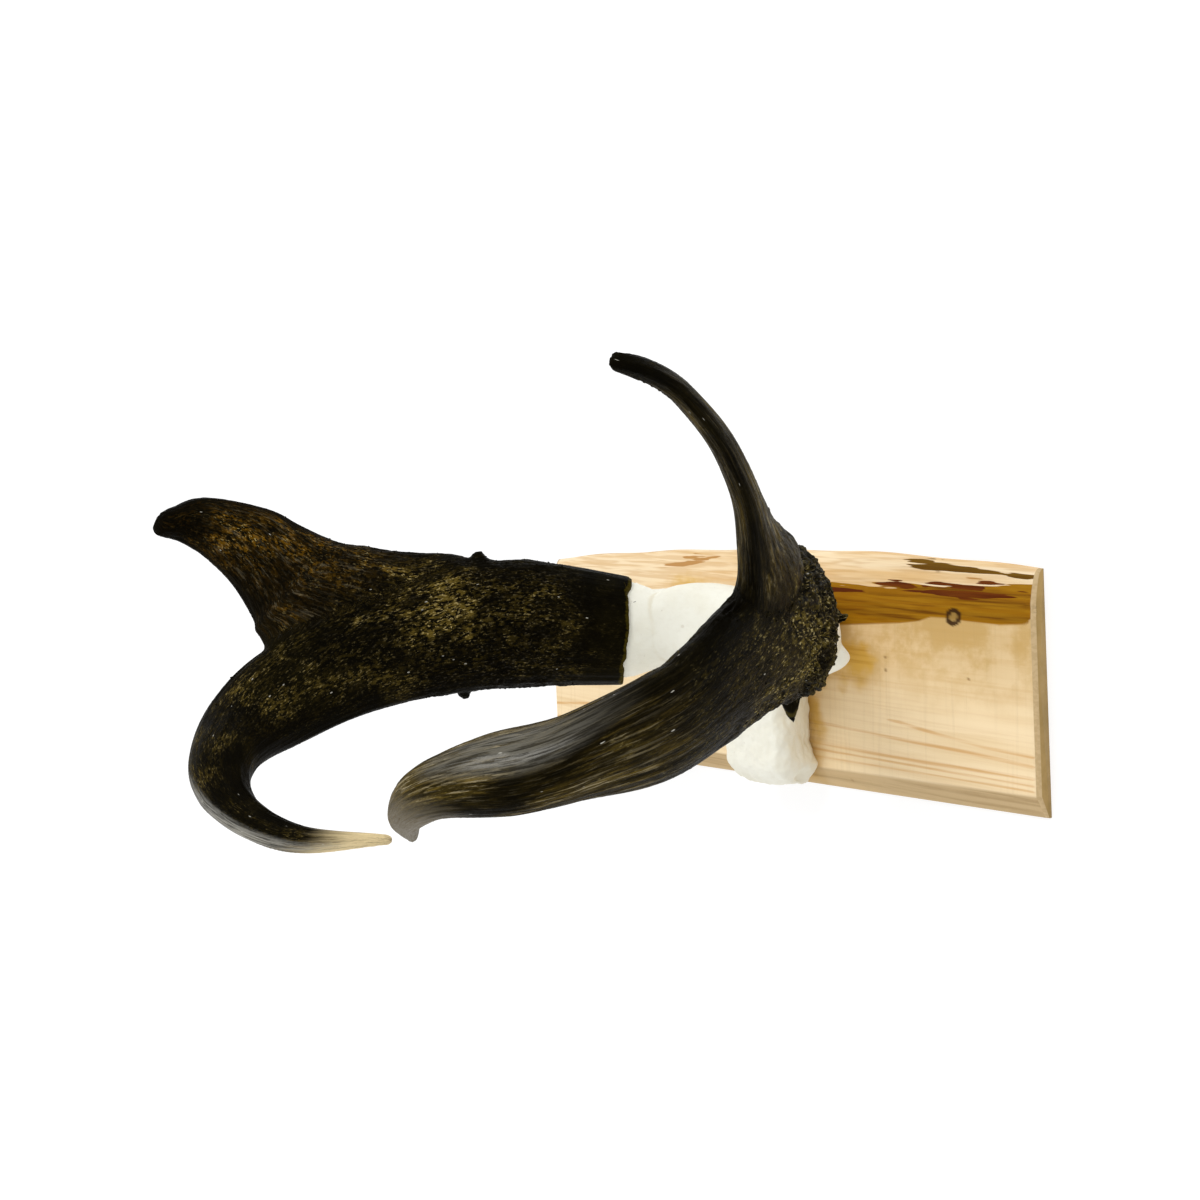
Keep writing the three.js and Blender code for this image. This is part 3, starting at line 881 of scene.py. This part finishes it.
def cranium_skin():
    rings = []
    sides = 64
    angle = np.arange(sides) * 2 * math.pi / sides
    for t in np.linspace(1, 0, 80):
        y = blend(-24, 54, t)
        end = math.sqrt(1 - max(0, (t - 0.82) / 0.2) ** 2)
        foot = BONE_FOOT
        top = foot + (blend(50, 40, t) - foot) * (0.35 + 0.65 * end)
        flare = 7 * max(0, 1 - abs(t - 0.88) / 0.14)
        share = (signed_power(np.sin(angle), 0.38) + 1) / 2
        width = blend(13 + flare, 19.5, share * 1.4)
        out = width * (0.6 + 0.4 * end) * signed_power(np.cos(angle), 0.38)
        ring = np.stack([SKULL_X + out, np.full(sides, y), foot + (top - foot) * share], 1)
        rings.append(ring)
    return skin(rings)


def beam_start(beam, side):
    """A beam's middle, its way, and its half depth and half width, all at its rim."""
    return [row[0] for row in beam_line(beam, side, np.linspace(0, 0.1, 3))]


def pedicle_skin(beam, side):
    """The bone stump that carries a horn."""
    centre, along, deep, wide = beam_start(beam, side)
    foot = place(side, (40, 20, 36))
    rings = []
    for advance, size in ((0, 0.55), (0.5, 0.7), (0.85, 0.84), (1.02, 0.9)):
        middle = foot + (centre - foot) * advance
        rings.append(round_ring(middle, deep * size, wide * size, 48))
    rings.append(round_ring(centre + along * 8, deep * 0.88, wide * 0.88, 48))
    return skin(rings)


def eye_rim_skin(side):
    tip, root = place(side, (62, 12, 42)), place(side, (36, 9, 43))
    rings = []
    for t in np.linspace(0, 1, 24):
        size = math.sqrt(1 - 0.96 * t * t)
        deep, tall = np.array((0, -9 * size, 0)), np.array((0, 0, -side * (2 + 8 * size)))
        rings.append(round_ring(root + (tip - root) * t, deep, tall, 32))
    return skin(rings)


def bone_material():
    material, w, surface, place_on = new_material("bleached_bone")
    clouds = w.group(MOTTLE, place_on, 34.0, 0.4, 0.68)
    fine = w.group(MOTTLE, place_on, 300.0, 0.45, 0.7)
    pores = w.group(SPECKS, place_on, 420.0, 0.2, 0.07)["Mask"]
    stains = w.group(SPECKS, place_on, 80.0, 0.1, 0.14)["Mask"]
    height = w.add("ShaderNodeSeparateXYZ", {0: place_on}).outputs[2]
    colour = w.coats(
        w.layer(clouds["Mask"], rgb(0.9, 0.89, 0.79), rgb(0.86, 0.84, 0.72)),
        (w.step(height, 0.01, 0.04, 1.0, 0.0), 0.55, rgb(0.72, 0.64, 0.46)),
        # painted shade in the hollows and on the braincase's side wall, and a slight tint on the rest
        # of the braincase
        (w.attribute("painted_shade_and_tint"), 0.45, rgb(0.66, 0.58, 0.4)),
        (fine["Mask"], 0.12, rgb(0.68, 0.63, 0.5)),
        (pores, 0.22, rgb(0.4, 0.33, 0.22)),
        (stains, 0.3, rgb(0.5, 0.42, 0.3)),
    )
    roughness = w.step(clouds["Height"], 0.3, 0.7, 0.5, 0.66)
    heights = [(clouds["Height"], 0.4, 0.003), (fine["Height"], 0.35, 0.0006), (pores, -0.4, 0.0002)]
    finish_material(w, surface, colour, roughness, 0.3, heights)
    return material


def skull_cap():
    horns = ((LEFT_BEAM, 1), (RIGHT_BEAM, -1))
    shells = [brow_skin(), cranium_skin()]
    for beam, side in horns:
        shells += [pedicle_skin(beam, side), eye_rim_skin(side)]
        shells.append(lump_skin(side, (49, 36, 58), (52, 46, 65), 3))
    piece = grown_together("bleached_skull_cap", shells, BONE_FACE)
    mesh = piece.data
    rough = points_of(mesh)
    points = smoothed(mesh, rough, np.full(len(rough), 0.9), 4)
    beside_horns = ease(14, 30, np.abs(points[:, 0] - SKULL_X)) * ease(12, 0, points[:, 1])
    points = smoothed(mesh, points, beside_horns * ease(-42, -38, points[:, 1]), 70)
    set_points(mesh, points)
    painted_shade_and_tint = np.einsum("ij,ij->i", points - rough, normals_of(mesh))
    relief = 0.35 * crumbled(points, 15, 41)
    braincase = ease(-4, 8, points[:, 1])
    folds = 0.5 - 1.2 * np.abs(crumbled(points, (9, 14, 9), 44)) + 0.4 * crumbled(points, 5, 45)
    relief += braincase * folds
    # The seam along the roof and the notch at its back corner.
    out = points[:, 0] - SKULL_X
    seam = np.abs(out - 2.5 * lumps(points * (0, 1, 0), 6, 43)) + 3 * (points[:, 1] < -20)
    relief -= 0.2 * np.exp(-((seam / 0.7) ** 2)) * (points[:, 2] > 35)
    relief -= 3.2 * near(points, (SKULL_X - 15.5, 50, 24), 4.5)
    points = points + normals_of(mesh) * relief[:, None]
    # The bone ends under the sheaths, apart from the stump inside each one.
    for beam, side in horns:
        centre, along, deep, wide = beam_start(beam, side)
        offset = points - centre
        above = offset @ along
        across = np.hypot(offset @ deep / (deep @ deep), offset @ wide / (wide @ wide))
        drop = np.where((across > 0.95) & (across < 1.25), np.maximum(above + 0.4, 0), 0)
        points = points - drop[:, None] * along
    points[:, 2] = np.maximum(points[:, 2], BONE_FOOT)
    set_points(mesh, points)
    # Painted shade: darker where smoothing filled hollows and on the braincase's side wall facing -x;
    # the rest of the braincase gets a slight tint.
    wall = ease(-0.15, -0.6, normals_of(mesh)[:, 0]) * ease(-6, 4, points[:, 1])
    painted_shade_and_tint = np.maximum(ease(0.1, 0.7, painted_shade_and_tint), braincase * (0.16 + wall * 0.2))
    add_attributes(mesh, {"painted_shade_and_tint": painted_shade_and_tint})
    shade_smooth(piece)
    return piece


# ---- plaque ----


def waney_edge(x):
    low, middle, high = WANEY_EDGE_Y
    t = 2 * x / PLAQUE_LENGTH
    bow = middle + (high - low) / 2 * t + ((high + low) / 2 - middle) * t * t
    return bow + 0.8 * math.sin(x / 17) * math.sin(x / 29 + 1)


def face_start(x):
    """Where the planed face begins, behind the waney edge."""
    places = (
        (-162, -31), (-158.5, -30), (-156, -26.6), (-143, -25.9), (-126, -27.2), (-116, -28.3),
        (-108, -28.5), (-102, -26.6), (-91, -25.3), (-56, -23.4), (40, -24), (162, -25),
    )
    return np.interp(x, [p[0] for p in places], [p[1] for p in places])


def plaque_ring(x, inset):
    start = face_start(x)
    edge = waney_edge(x)
    angle = np.linspace(math.pi / 2, 0, 56)
    waney_y = blend(start, edge, np.sin(angle) ** 1.15)
    waney_z = PLAQUE_THICK * np.cos(angle) ** 0.9
    face_y = np.linspace(start, PLAQUE_FACE_END, 130)[1:]
    bevel = np.linspace(0, 1, 12)[1:]
    bevel_y = blend(PLAQUE_FACE_END, PLAQUE_BOTTOM_Y, bevel)
    y = np.concatenate([waney_y, face_y, bevel_y, [PLAQUE_BOTTOM_Y, 20, -20]])
    face_z, bevel_z = np.full(len(face_y), PLAQUE_THICK), PLAQUE_THICK - PLAQUE_BEVEL_DROP * bevel
    z = np.concatenate([waney_z, face_z, bevel_z, [0, 0, 0]])
    skew = PLAQUE_SKEW * (PLAQUE_BOTTOM_Y - y) / (PLAQUE_BOTTOM_Y - WANEY_EDGE_Y[1])
    ring = np.stack([x + skew, y, z * (1 - inset / PLAQUE_THICK)], 1)
    return ring[::-1]


def marked(x, y, lines):
    """How far inside the nearest marked line each point lies, in millimetres."""
    best = np.full(len(x), -6.0)
    for line in lines:
        along, middle, half = np.array(sorted(line)).T
        past = np.maximum(along[0] - x, 0) + np.maximum(x - along[-1], 0)
        inside = np.interp(x, along, half) - np.abs(y - np.interp(x, along, middle)) - past * 0.4
        best = np.maximum(best, inside)
    return best


def pine_material():
    material, w, surface, place_on = new_material("pine")
    x, y, z = w.add("ShaderNodeSeparateXYZ", {0: place_on}).outputs
    lean = w.math("ADD", y, w.product(x, 0.05))
    turned = w.add("ShaderNodeCombineXYZ", {0: lean, 1: z, 2: x}).outputs[0]
    saw = w.add("ShaderNodeCombineXYZ", {0: x, 1: z, 2: y}).outputs[0]
    grain = w.group(STREAKS, turned, 420.0, 11.0, 0.44, 0.68)
    bands = w.group(STREAKS, turned, 95.0, 5.0, 0.46, 0.66)["Mask"]
    torn = w.group(STREAKS, turned, 560.0, 34.0, 0.4, 0.6, 1.5)
    marks = w.group(STREAKS, saw, 520.0, 14.0, 0.5, 0.75)
    blotch = w.group(MOTTLE, place_on, 38.0, 0.4, 0.64)["Mask"]
    chamfer = w.attribute("chamfer")

    def torn_edge(name, spread=1.7):
        """A marked line whose edge is broken up by the grain."""
        tear = w.step(torn["Height"], 0.3, 0.7, -spread / 2, spread / 2)
        return w.step(w.math("ADD", w.attribute(name), tear), -0.1, 0.3)

    def grained(light, dark):
        return w.layer(grain["Mask"], rgb(*light), rgb(*dark))

    ring_line = w.step(w.attribute("rings"), -0.7, 0.4)
    cream = w.layer(bands, rgb(0.92, 0.74, 0.49), rgb(0.8, 0.54, 0.26))
    cream = w.coats(cream, (torn["Mask"], 0.45, rgb(0.62, 0.36, 0.13)))
    amber = grained((0.33, 0.14, 0.002), (0.16, 0.055, 0.0005))
    amber = w.coats(amber, (torn["Mask"], 0.4, rgb(0.44, 0.22, 0.008)))
    # A golden, darker colour, laid along the bone's foot, under the eye rim's tip and on one patch by
    # the waney edge.
    golden_patch_colour = grained((0.68, 0.4, 0.06), (0.54, 0.28, 0.025))
    red = grained((0.11, 0.02, 0.0003), (0.18, 0.042, 0.0006))
    olive = grained((0.17, 0.08, 0.003), (0.12, 0.05, 0.001))
    # The lower bevel: browner wood with painted shade on it.
    browner_bevel_with_painted_shade = grained((0.46, 0.31, 0.14), (0.33, 0.21, 0.08))
    browner_bevel_with_painted_shade = w.coats(browner_bevel_with_painted_shade, (bands, 0.5, rgb(0.6, 0.42, 0.21)))
    fresh = w.coats(rgb(0.6, 0.44, 0.24), (torn["Mask"], 0.4, rgb(0.44, 0.3, 0.14)))
    end_grain = w.layer(blotch, rgb(0.44, 0.29, 0.11), rgb(0.35, 0.23, 0.08))
    colour = w.coats(
        w.layer(bands, rgb(0.93, 0.74, 0.47), rgb(0.87, 0.67, 0.4)),
        (grain["Mask"], 0.24, rgb(0.66, 0.42, 0.19)),
        (w.attribute("tone"), w.step(blotch, 0.0, 1.0, 0.5, 0.9), rgb(0.58, 0.36, 0.11)),
        (marks["Mask"], 0.12, rgb(0.42, 0.27, 0.11)),
        (ring_line, w.step(grain["Height"], 0.35, 0.6, 0.15, 0.75), rgb(0.66, 0.36, 0.12)),
        (w.attribute("wane"), 1.0, w.layer(torn_edge("amber", 3.0), cream, amber)),
        (w.attribute("golden_patches"), w.step(blotch, 0.0, 1.0, 0.55, 1.0), golden_patch_colour),
        (torn_edge("tan"), 0.8, rgb(0.45, 0.2, 0.035)),
        (torn_edge("red", 2.6), 1.0, red),
        (torn_edge("olive"), 1.0, olive),
        (w.attribute("knot_heart"), 0.85, rgb(0.36, 0.22, 0.06)),
        (w.attribute("knot"), 0.95, rgb(0.035, 0.012, 0.002)),
        (w.attribute("specks"), 0.7, rgb(0.2, 0.08, 0.01)),
        (w.attribute("bevel"), 0.75, browner_bevel_with_painted_shade),
        (w.step(chamfer, 0.02, 0.15), 1.0, fresh),
        (w.step(chamfer, 0.9, 0.97), 1.0, end_grain),
    )
    roughness = w.step(grain["Height"], 0.3, 0.7, 0.45, 0.62)
    heights = [(grain["Height"], 0.3, 0.0006), (marks["Height"], 0.15, 0.0003)]
    finish_material(w, surface, colour, roughness, 0.1, heights)
    return material


def plaque():
    half = PLAQUE_LENGTH / 2
    full_height = half - PLAQUE_END_BEVEL
    rings = [plaque_ring(-half, PLAQUE_END_BEVEL)]
    rings += [plaque_ring(x, 0) for x in np.linspace(-full_height, full_height, 260)]
    rings.append(plaque_ring(half, PLAQUE_END_BEVEL))
    shape_points, faces = skin(rings)
    ring_size = len(rings[0])
    chamfer = np.zeros(len(shape_points))
    chamfer[:ring_size] = chamfer[-2 - ring_size :] = 1
    piece = mesh_from("pine_plaque", shape_points, faces)
    mesh = piece.data
    points = points_of(mesh)
    x, y, z = points.T
    start = face_start(x)
    wane = ease(0.35, -0.35, y - start) * (z > 0.2)
    ripple = lumps(points, (30, 3.5, 50), 61) + 0.6 * lumps(points, (14, 1.8, 50), 62)
    points = points + np.stack([0 * x, 0 * x, wane * (z > 1) * (0.2 * ripple - 0.25)], 1)
    set_points(mesh, points)

    from_horn_side = ease(-20, -44, x)
    bark_line = -43.2 + 1.2 * lumps(points * (1, 0, 0), 12, 64)
    amber = blend(-6, np.clip(y - bark_line, -6, 6), from_horn_side)
    # Golden, darker colour along the bone's foot, under the eye rim's tip and in one patch by the waney
    # edge.
    wall = np.hypot(np.maximum(np.abs(x - SKULL_X) - 13, 0), np.maximum(np.abs(y - 18) - 34, 0))
    under_rim = np.hypot((x + 62) / 1.15, y + 6)
    near_bone = np.minimum(wall, np.maximum(under_rim - 6, 0)) + 5 * crumbled(points, 12, 63)
    glow = np.hypot((x - 46) / 2.6, (y + 43) / 1.0) + 2 * crumbled(points, 8, 67)
    golden_patches = np.maximum(ease(9, 0.5, near_bone) * 0.85, ease(8, 1, glow) * 0.8)
    tone = ease(24, -18, y + 6 * crumbled(points, 25, 65)) * (0.55 + 0.4 * from_horn_side)
    ring = np.hypot(x - KNOT[0], y - KNOT[1]) + 0.15 * lumps(points, 2.5, 66)
    dots = np.min([np.hypot(x - dot[0], y - dot[1]) for dot in SPECKS_ON_PLAQUE], axis=0)
    fields = {
        "wane": wane,
        "amber": amber,
        "golden_patches": golden_patches,
        "tone": tone,
        "olive": marked(x, y, OLIVE_PATCHES),
        "red": marked(x, y, RED_PATCHES),
        "tan": marked(x, y, TAN_PATCHES),
        "rings": marked(x, y, GROWTH_RINGS),
        "knot": ease(1.3, 0.7, np.abs(ring - KNOT_RADIUS)),
        "knot_heart": ease(2.9, 2.2, ring),
        "specks": ease(0.9, 0.5, dots),
        "bevel": ease(-0.3, 0.4, y - PLAQUE_FACE_END),
        "chamfer": chamfer,
    }
    add_attributes(mesh, fields)
    shade_smooth(piece)
    return piece


# ---- the pieces ----


def dress(piece, material, node):
    piece.data.materials.clear()
    piece.data.materials.append(material)
    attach(piece, "root")
    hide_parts(node)


def crumbs_on(sheath, material, side_name, flakes_per_square_metre, seed):
    """The loose flakes and hairs on a sheath, which share its material."""
    kinds = (
        ("flakes", FLAKES, flakes_per_square_metre, 0.0003, 0.001),
        ("fibres", FIBRES, HAIRS_PER_SQUARE_METRE, 0.002, 0.005),
    )
    for name, tree, density, smallest, largest in kinds:
        values = {"Per Square Metre": density, "Smallest": smallest, "Largest": largest}
        values |= {"Seed": seed, "Material": material}
        crumbs = scattered(f"{side_name}_horn_{name}", sheath, tree, values)
        dress(crumbs, material, f"{side_name}_horn")


NO_STREAKS = (2.0, 2.1, 2.2, 2.3)  # past the tip, where there is no horn

left = horn(
    "left_horn_sheath", LEFT_BEAM, LEFT_PRONG, LEFT_LUMPS, side=1, seed=11,
    webs=[LEFT_WEB], swellings=LEFT_SWELLINGS, gilt=LEFT_GILT,
    rough_reach=170, roughness=0.4, trim=0, collar_length=32,
    painted_sheen_band=(0.62, 0.72, 0.9, 0.98), painted_sheen_way=(-0.1, 0.4, 0.9),
)
left_look = horn_material(
    "horn_left",
    tan=rgb(0.125, 0.086, 0.015),
    warm=rgb(0.14, 0.066, 0.002),
    bright=rgb(0.42, 0.32, 0.12),
    streaked=NO_STREAKS,
    streak_colour=rgb(0.06, 0.032, 0.004),
    tip_start=0.89,
    tip_colour=rgb(0.85, 0.68, 0.38),
    olive=0.9,
    prong_streaks=0.25,
    painted_sheen_colour=rgb(0.36, 0.35, 0.31),
)
dress(left, left_look, "left_horn")
crumbs_on(left, left_look, "left", 40000.0, 5)

right = horn(
    "right_horn_sheath", RIGHT_BEAM, RIGHT_PRONG, RIGHT_LUMPS, side=-1, seed=29,
    webs=[], swellings=[], gilt=RIGHT_GILT,
    rough_reach=125, roughness=1.25, trim=1.45, collar_length=6,
    painted_sheen_band=(0.52, 0.66, 0.84, 0.92), painted_sheen_way=(-0.45, -0.68, 0.57),
)
right_look = horn_material(
    "horn_right",
    tan=rgb(0.1, 0.072, 0.014),
    warm=rgb(0.08, 0.054, 0.01),
    bright=rgb(0.4, 0.32, 0.13),
    streaked=(0.45, 0.6, 0.78, 0.9),
    streak_colour=rgb(0.16, 0.108, 0.02),
    tip_start=0.75,
    tip_colour=rgb(0.17, 0.145, 0.1),
    olive=0.2,
    prong_streaks=0.5,
    painted_sheen_colour=rgb(0.165, 0.155, 0.125),
)
dress(right, right_look, "right_horn")
crumbs_on(right, right_look, "right", 50000.0, 8)

dress(skull_cap(), bone_material(), "skull_cap")
dress(plaque(), pine_material(), "plaque")

# ---- floor, light and camera ----


def add_floor():
    corners = [(-3, -3, 0), (3, -3, 0), (3, 3, 0), (-3, 3, 0)]
    floor = mesh_from("floor", np.array(corners) / MM, [[0, 1, 2, 3]])
    material = bpy.data.materials.new("studio_floor")
    material.use_nodes = True
    looks = {
        "Base Color": rgb(0.38, 0.38, 0.38),
        "Roughness": 0.9,
        "Specular IOR Level": 0.0,
        "Emission Color": rgb(1.0, 1.0, 1.0),
        "Emission Strength": 0.68,
    }
    for label, value in looks.items():
        material.node_tree.nodes["Principled BSDF"].inputs[label].default_value = value
    floor.data.materials.append(material)


def add_sun(name, from_way, strength, softness):
    """Soft light from one side; softness is how wide the light looks from the object, in degrees."""
    sun = bpy.data.lights.new(name, "SUN")
    sun.energy = strength
    sun.angle = math.radians(softness)
    holder = bpy.data.objects.new(name, sun)
    bpy.context.scene.collection.objects.link(holder)
    holder.rotation_euler = Vector([-part for part in from_way]).to_track_quat("-Z", "Y").to_euler()


def add_sky():
    world = bpy.data.worlds.new("studio")
    world.use_nodes = True
    background = world.node_tree.nodes["Background"]
    background.inputs["Color"].default_value = rgb(1.0, 1.0, 1.0)
    background.inputs["Strength"].default_value = 0.7
    bpy.context.scene.world = world


def add_camera():
    """The camera where it stands, turned by the ways that are right, down and forward in its view."""
    lens = bpy.data.cameras.new("camera")
    lens.sensor_width = 36
    lens.lens = 39.06
    lens.clip_start = 0.01
    camera = bpy.data.objects.new("camera", lens)
    bpy.context.scene.collection.objects.link(camera)
    right_way = (-0.66214, 0.02921, -0.74882)
    down_way = (-0.01391, 0.99859, 0.05125)
    forward_way = (0.74926, 0.04435, -0.66079)
    standing_at = (-0.4501, -0.0667, 0.5095)
    columns = [right_way, [-v for v in down_way], [-v for v in forward_way], standing_at]
    matrix = Matrix([[column[row] for column in columns] for row in range(3)] + [[0, 0, 0, 1]])
    camera.matrix_world = matrix
    bpy.context.scene.camera = camera


add_floor()
add_sky()
add_sun("key", (-0.1, -0.66, 0.74), 1.1, 24)
add_sun("fill", (0.5, 0.4, 0.77), 0.7, 60)
add_camera()
bpy.context.scene.view_settings.view_transform = "Standard"
